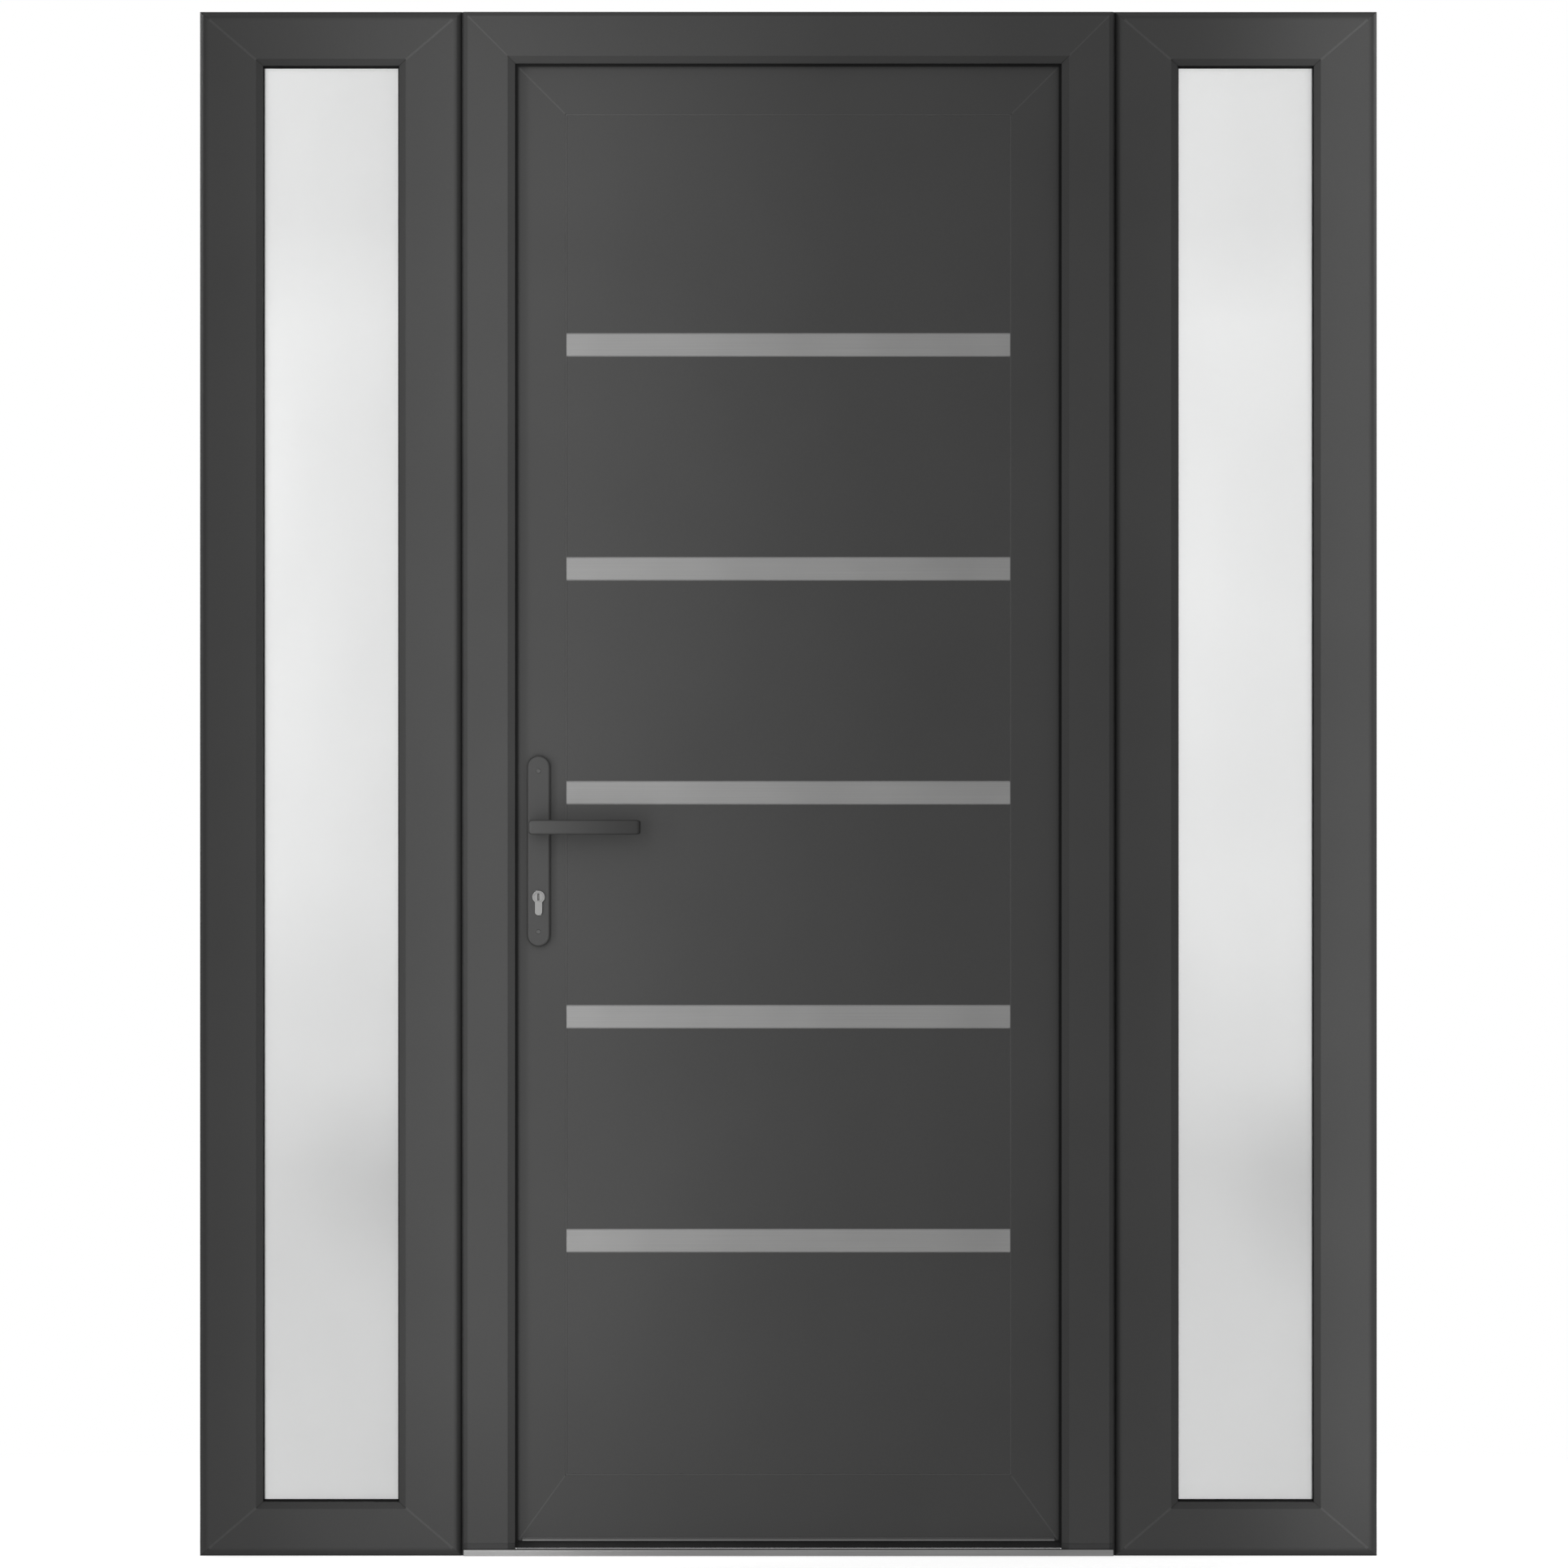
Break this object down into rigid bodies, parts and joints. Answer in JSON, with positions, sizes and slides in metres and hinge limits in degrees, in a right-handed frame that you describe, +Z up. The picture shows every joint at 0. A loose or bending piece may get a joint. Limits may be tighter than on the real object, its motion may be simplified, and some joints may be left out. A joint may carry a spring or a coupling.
{
  "type": "exterior door set with sidelights",
  "caption": "Plastic exterior door with a flush panel and steel inlay strips, a lever lock, a low threshold and a narrow glazed sidelight coupled on each side.",
  "frame": {"origin": "middle of the threshold's underside, in the middle of the frame's depth", "axes": "+Z up, -Y to the outdoor face, +X to the hinge side"},
  "size_m": [1.549, 0.178, 2.032],
  "materials": {
    "frame_plastic": "satin foil-wrapped profile",
    "panel_skin": "satin flush skin",
    "gasket_rubber": "matt extruded rubber",
    "satin_glass": "satin obscured glass",
    "spacer_bar": "mill finish",
    "threshold_aluminium": "satin anodised",
    "drip_aluminium": "powder coated",
    "sill_plastic": "moulded, slightly rough",
    "inlay_steel": "brushed along the strip",
    "hardware_paint": "powder coated",
    "lock_nickel": "satin nickel",
    "lock_steel": "zinc plated"
  },
  "bodies": {
    "frame": {"door_head": "frame_plastic", "latch_jamb": "frame_plastic", "hinge_jamb": "frame_plastic", "jamb_feet": "frame_plastic", "frame_gasket": "gasket_rubber", "threshold_nose": "threshold_aluminium", "threshold_sill": "sill_plastic", "strike_plates": "lock_steel", "hinge_frame_halves": "hardware_paint", "left_coupling": "gasket_rubber", "left_sidelight_outer_stile": "frame_plastic", "left_sidelight_inner_stile": "frame_plastic", "left_sidelight_head": "frame_plastic", "left_sidelight_sill": "frame_plastic", "left_sidelight_gasket": "gasket_rubber", "left_sidelight_panes": "satin_glass", "left_sidelight_spacer": "spacer_bar", "left_sidelight_beads": "frame_plastic", "right_coupling": "gasket_rubber", "right_sidelight_outer_stile": "frame_plastic", "right_sidelight_inner_stile": "frame_plastic", "right_sidelight_head": "frame_plastic", "right_sidelight_sill": "frame_plastic", "right_sidelight_gasket": "gasket_rubber", "right_sidelight_panes": "satin_glass", "right_sidelight_spacer": "spacer_bar", "right_sidelight_beads": "frame_plastic"},
    "leaf": {"leaf_latch_stile": "frame_plastic", "leaf_hinge_stile": "frame_plastic", "leaf_top_rail": "frame_plastic", "leaf_bottom_rail": "frame_plastic", "leaf_gasket": "gasket_rubber", "bottom_seal": "gasket_rubber", "drip_bar": "drip_aluminium", "door_panel": "panel_skin", "outside_inlay_strips": "inlay_steel", "inside_inlay_strips": "inlay_steel", "panel_beads": "frame_plastic", "hinge_leaf_halves": "hardware_paint", "outside_backplate": "hardware_paint", "inside_backplate": "hardware_paint", "lock_cylinder": "lock_nickel", "lock_faceplate": "lock_steel", "latch_bolt": "lock_steel"},
    "lever": {"outside_lever": "hardware_paint", "inside_lever": "hardware_paint", "spindle": "lock_steel"}
  },
  "joints": [
    {"name": "leaf_swing", "type": "hinge", "parent": "frame", "child": "leaf", "pos_m": [0.4015, 0.07, 1], "axis": [0, 0, -1], "range_deg": [0, 100]},
    {"name": "lever_press", "type": "hinge", "parent": "leaf", "child": "lever", "pos_m": [-0.329, 0.027, 0.959], "axis": [0, 1, 0], "range_deg": [0, 45], "stiffness_Nm_per_rad": 2, "springref_deg": -20.05}
  ]
}
